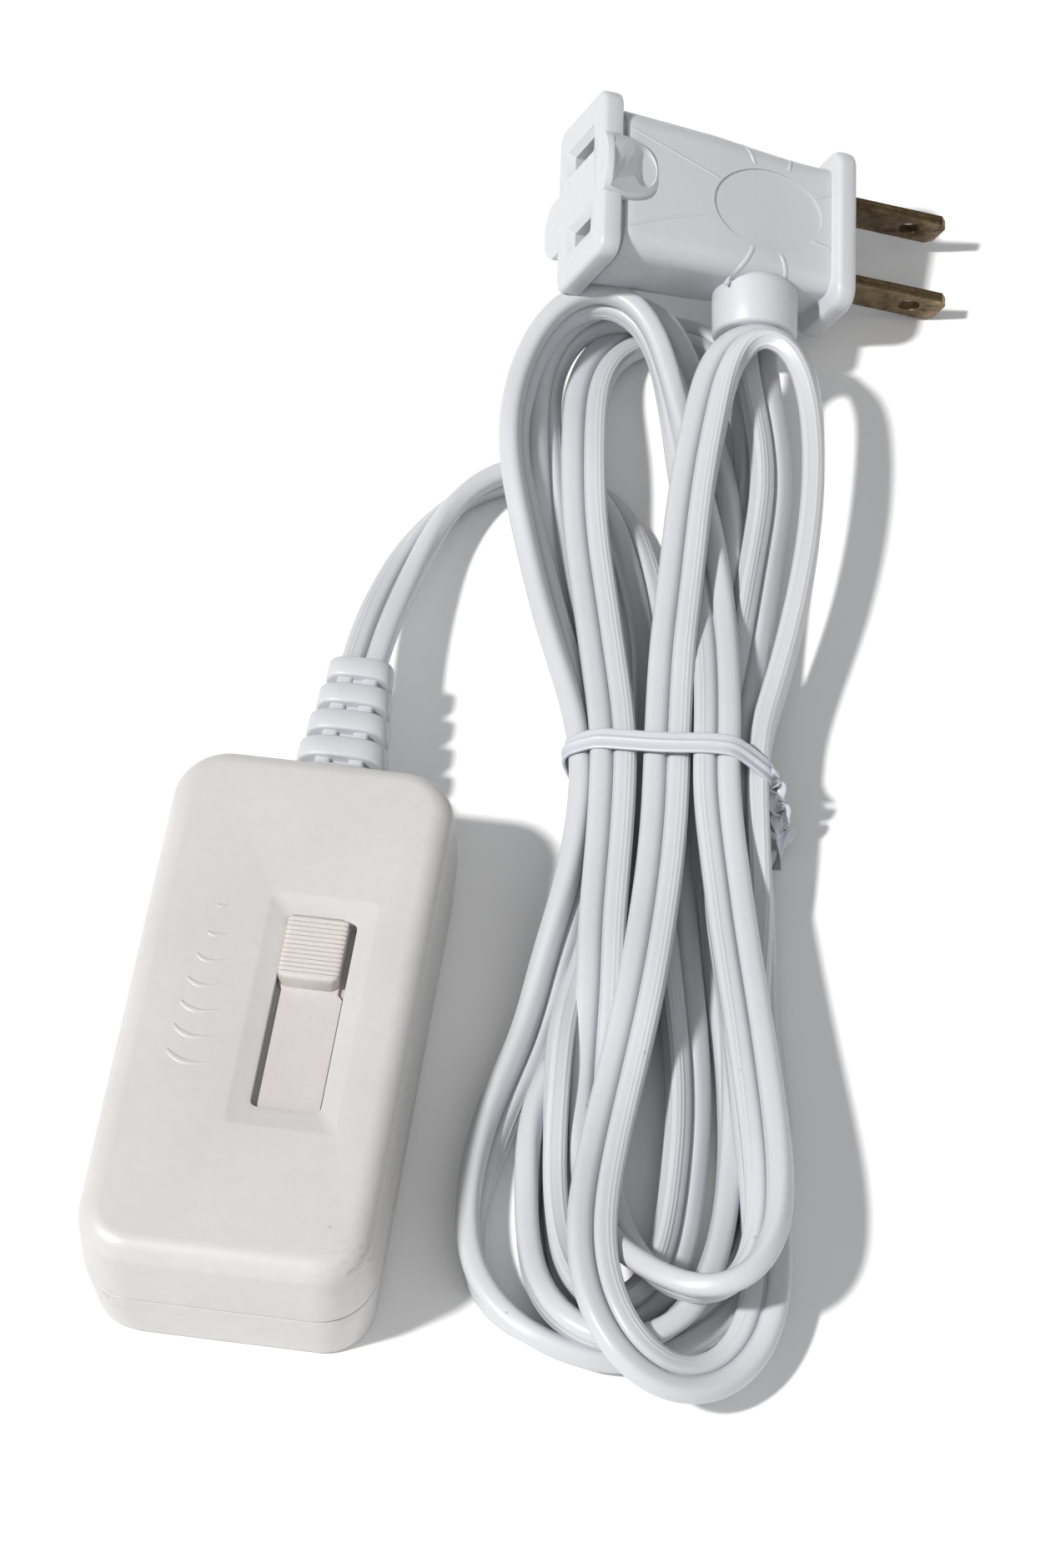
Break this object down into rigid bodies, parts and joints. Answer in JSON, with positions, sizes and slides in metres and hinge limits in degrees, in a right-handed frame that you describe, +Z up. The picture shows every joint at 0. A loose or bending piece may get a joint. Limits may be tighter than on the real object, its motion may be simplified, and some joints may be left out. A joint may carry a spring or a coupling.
{
  "type": "plug-in lamp dimmer cord",
  "caption": "Hand-held slide dimmer on a flat two-core mains cord folded into a tied hank, with a ribbed strain relief and a stackable two-blade plug.",
  "frame": {"origin": "centre of the dimmer housing's footprint, on the surface it lies on", "axes": "+Z up, +Y along the housing towards its strain relief, +X towards the folded hank"},
  "size_m": [0.0938, 0.2033, 0.0384],
  "materials": {
    "base_cover": "moulded white plastic, faint satin",
    "top_cover": "moulded white plastic, faint satin, scuffed corner",
    "case_screws": "zinc-plated",
    "slider_knob": "moulded, ribbed",
    "slider_shutter": "moulded, slightly pink white",
    "wiper_carriage": "moulded black",
    "wiper_contact": "sprung phosphor bronze",
    "pot_frame": "folded tinplate",
    "pot_track": "phenolic strip with carbon tracks",
    "circuit_board": "phenolic board",
    "triac": "moulded black package with tab",
    "heat_sink": "bent sheet",
    "triac_rivet": "plain",
    "choke_core": "painted powdered iron ring",
    "choke_winding": "enamelled copper",
    "film_capacitor": "dipped film capacitor",
    "resistors": "banded resistors",
    "diac": "glass package",
    "fuse": "coated thermal fuse",
    "lead_wires": "PVC insulation",
    "strain_relief": "soft PVC, ribbed",
    "cord_lead": "soft PVC",
    "cord_hank": "soft PVC",
    "cord_end": "soft PVC",
    "twist_tie": "flat plastic over wire",
    "plug_body": "moulded PVC, satin",
    "plug_insert": "hard moulded insert",
    "blade_near": "tarnished",
    "blade_far": "tarnished",
    "contact_near": "sprung",
    "contact_far": "sprung",
    "plug_wires": "PVC insulation"
  },
  "bodies": {
    "unit": {"base_cover": "base_cover", "top_cover": "top_cover", "case_screws": "case_screws", "pot_frame": "pot_frame", "pot_track": "pot_track", "circuit_board": "circuit_board", "triac": "triac", "heat_sink": "heat_sink", "triac_rivet": "triac_rivet", "choke_core": "choke_core", "choke_winding": "choke_winding", "film_capacitor": "film_capacitor", "resistors": "resistors", "diac": "diac", "fuse": "fuse", "lead_wires": "lead_wires", "strain_relief": "strain_relief", "cord_lead": "cord_lead", "cord_hank": "cord_hank", "cord_end": "cord_end", "twist_tie": "twist_tie", "plug_body": "plug_body", "plug_insert": "plug_insert", "blade_near": "blade_near", "blade_far": "blade_far", "contact_near": "contact_near", "contact_far": "contact_far", "plug_wires": "plug_wires"},
    "slider": {"slider_knob": "slider_knob", "slider_shutter": "slider_shutter", "wiper_carriage": "wiper_carriage", "wiper_contact": "wiper_contact"}
  },
  "joints": [
    {"name": "dimmer_slide", "type": "slide", "parent": "unit", "child": "slider", "axis": [0, -1, 0], "range_m": [0, 0.0182]}
  ]
}
